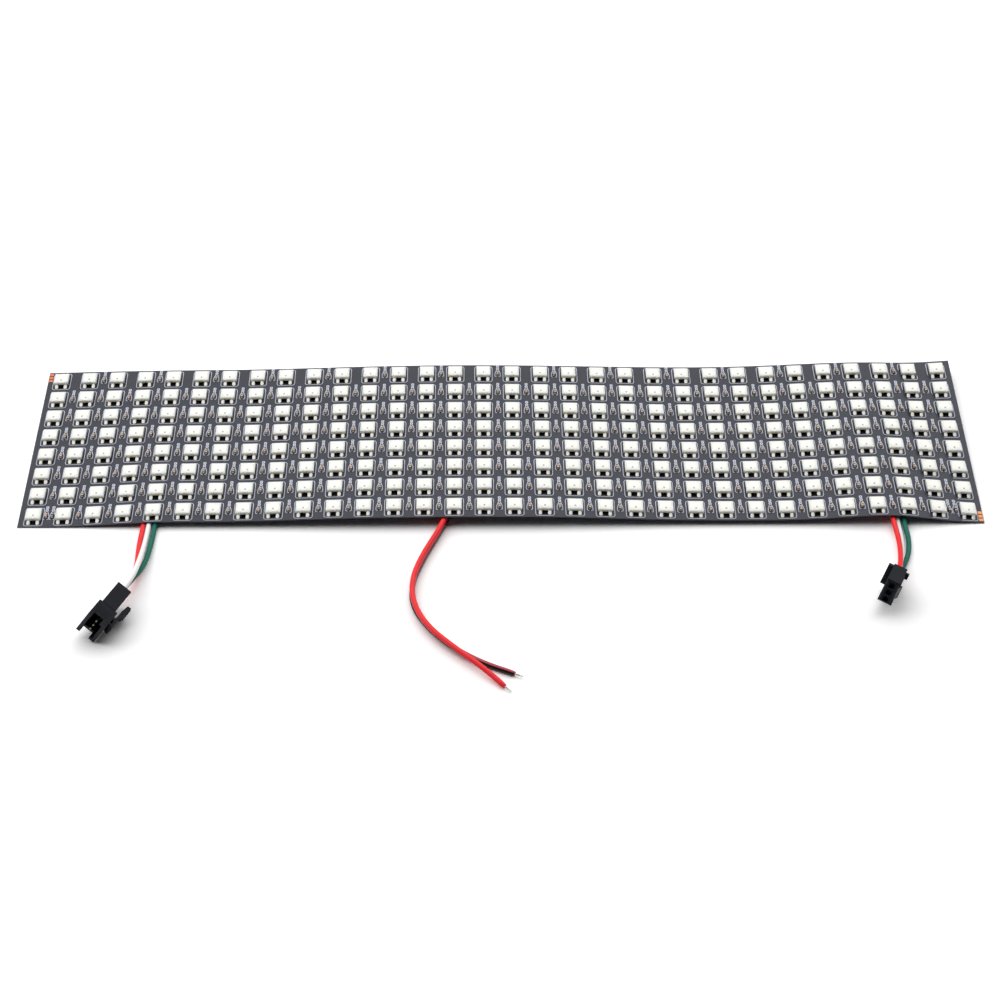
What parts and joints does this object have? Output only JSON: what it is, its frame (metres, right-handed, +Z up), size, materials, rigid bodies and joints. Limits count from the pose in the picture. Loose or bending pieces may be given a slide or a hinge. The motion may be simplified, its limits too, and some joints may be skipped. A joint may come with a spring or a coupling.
{
  "type": "led dot matrix",
  "caption": "Flexible LED dot matrix: a thin black printed sheet with a grid of square LED packages, power leads and latching data connectors at both ends.",
  "frame": {"origin": "on the floor under the middle of the printed sheet, without its wires", "axes": "+X along the long side, the way the rows of LEDs run, +Y away from the side that the wires leave, +Z up out of the face with the LEDs"},
  "size_m": [0.32, 0.1548, 0.013],
  "materials": {
    "printed_sheet": "satin",
    "led_package": "gloss",
    "capacitor": "satin",
    "resistor": "satin",
    "copper": "satin",
    "solder": "gloss",
    "white_wire": "satin",
    "green_wire": "satin",
    "red_wire": "satin",
    "black_wire": "satin",
    "tinned_strand": "satin",
    "connector_nylon": "satin",
    "tinned_contact": "gloss"
  },
  "bodies": {
    "root": {"flexible_board": "printed_sheet", "led_row_1": "led_package", "capacitor_row_1": "capacitor", "led_row_2": "led_package", "capacitor_row_2": "capacitor", "led_row_3": "led_package", "capacitor_row_3": "capacitor", "led_row_4": "led_package", "capacitor_row_4": "capacitor", "led_row_5": "led_package", "capacitor_row_5": "capacitor", "led_row_6": "led_package", "capacitor_row_6": "capacitor", "led_row_7": "led_package", "capacitor_row_7": "capacitor", "led_row_8": "led_package", "capacitor_row_8": "capacitor", "data_resistors": "resistor", "right_edge_pads": "copper", "left_edge_pads": "copper", "data_in_solder_joints": "solder", "power_solder_joints": "solder", "data_out_solder_joints": "solder", "data_in_white_wire": "white_wire", "data_in_green_wire": "green_wire", "data_in_red_wire": "red_wire", "power_red_wire": "red_wire", "power_black_wire": "black_wire", "data_out_red_wire": "red_wire", "data_out_white_wire": "white_wire", "data_out_green_wire": "green_wire", "power_lead_ends": "tinned_strand", "data_in_socket": "connector_nylon", "data_in_pins": "tinned_contact", "data_out_plug": "connector_nylon", "data_out_contacts": "tinned_contact"}
  },
  "joints": []
}
